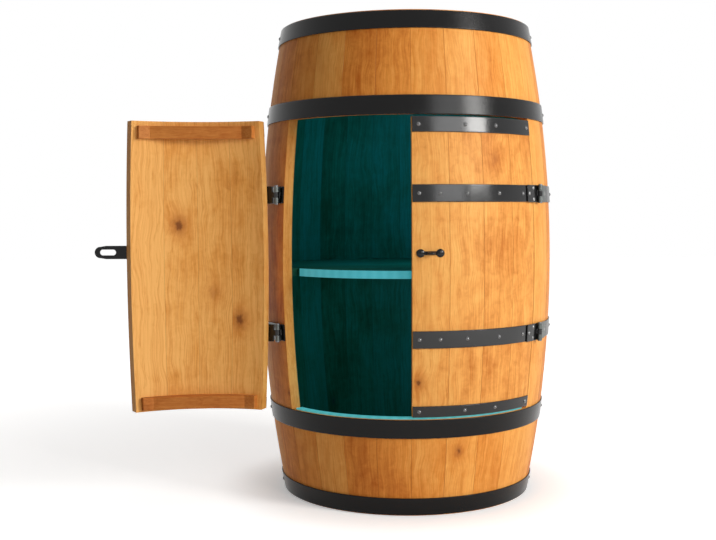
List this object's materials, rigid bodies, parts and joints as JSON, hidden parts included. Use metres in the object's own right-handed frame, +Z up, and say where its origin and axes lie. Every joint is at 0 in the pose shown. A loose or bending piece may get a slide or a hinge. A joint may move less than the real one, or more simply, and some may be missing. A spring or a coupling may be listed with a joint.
{
  "type": "barrel bar cabinet",
  "caption": "Upright stave barrel as a bar cabinet: two hinged curved doors with hasp and staple, inner shelf, steel hoops, light strips.",
  "frame": {"origin": "on the barrel's axis, at the level of the stave ends that it stands on", "axes": "+Z up along the barrel's axis, -Y out of the doorway, +X to the right of someone facing the doors"},
  "size_m": [0.7669, 0.5227, 0.8],
  "materials": {
    "outer_wood": "satin varnish over straight grain",
    "inner_wood": "smooth planed",
    "black_steel": "satin black",
    "black_fasteners": "satin black",
    "black_hardware": "satin black",
    "hinge_metal": "satin dark",
    "clip_metal": "satin",
    "light_strip": "frosted, glowing turquoise",
    "battery_case": "fine matt"
  },
  "bodies": {
    "barrel": {"stave_01": "outer_wood", "stave_02": "outer_wood", "stave_03": "outer_wood", "stave_04": "outer_wood", "stave_05": "outer_wood", "stave_06": "outer_wood", "stave_07": "outer_wood", "stave_08": "outer_wood", "stave_09": "outer_wood", "stave_10": "outer_wood", "stave_11": "outer_wood", "stave_12": "outer_wood", "stave_13": "outer_wood", "stave_14": "outer_wood", "stave_15": "outer_wood", "stave_16": "outer_wood", "stave_17": "outer_wood", "stave_18": "outer_wood", "header_staves": "outer_wood", "sill_staves": "outer_wood", "top_head": "inner_wood", "bottom_head": "inner_wood", "top_hoop": "black_steel", "upper_quarter_hoop": "black_steel", "upper_bilge_hoop": "black_steel", "lower_bilge_hoop": "black_steel", "lower_quarter_hoop": "black_steel", "bottom_hoop": "black_steel", "hoop_rivets": "black_steel", "shelf": "inner_wood", "shelf_light": "light_strip", "sill_light": "light_strip", "header_light": "light_strip", "shelf_clips": "clip_metal", "battery_box": "battery_case", "hinge_body_leaves": "hinge_metal", "hinge_body_screws": "black_fasteners"},
    "left_door": {"left_door_staves": "outer_wood", "left_door_cleats": "inner_wood", "left_door_end_straps": "black_steel", "left_door_bilge_straps": "black_steel", "left_door_rivets": "black_fasteners", "left_door_hinge_leaves": "hinge_metal", "left_door_hinge_pins": "hinge_metal", "left_door_hinge_screws": "black_fasteners", "hasp_leaf": "black_hardware", "hasp_pin": "black_hardware", "hasp_screws": "black_fasteners"},
    "right_door": {"right_door_staves": "outer_wood", "right_door_cleats": "inner_wood", "right_door_end_straps": "black_steel", "right_door_bilge_straps": "black_steel", "right_door_rivets": "black_fasteners", "right_door_hinge_leaves": "hinge_metal", "right_door_hinge_pins": "hinge_metal", "right_door_hinge_screws": "black_fasteners", "staple": "black_hardware", "staple_screws": "black_fasteners"},
    "hasp_flap": {"hasp_flap": "black_hardware"}
  },
  "joints": [
    {"name": "left_door_hinge", "type": "hinge", "parent": "barrel", "child": "left_door", "pos_m": [-0.21637, -0.14052, 0.4], "axis": [0, 0, -1], "range_deg": [-147, 23]},
    {"name": "right_door_hinge", "type": "hinge", "parent": "barrel", "child": "right_door", "pos_m": [0.21637, -0.14052, 0.4], "axis": [0, 0, 1], "range_deg": [0, 170]},
    {"name": "hasp_hinge", "type": "hinge", "parent": "left_door", "child": "hasp_flap", "pos_m": [-0.45146, -0.15438, 0.421], "axis": [0, 0, -1], "range_deg": [-33, 137]}
  ]
}
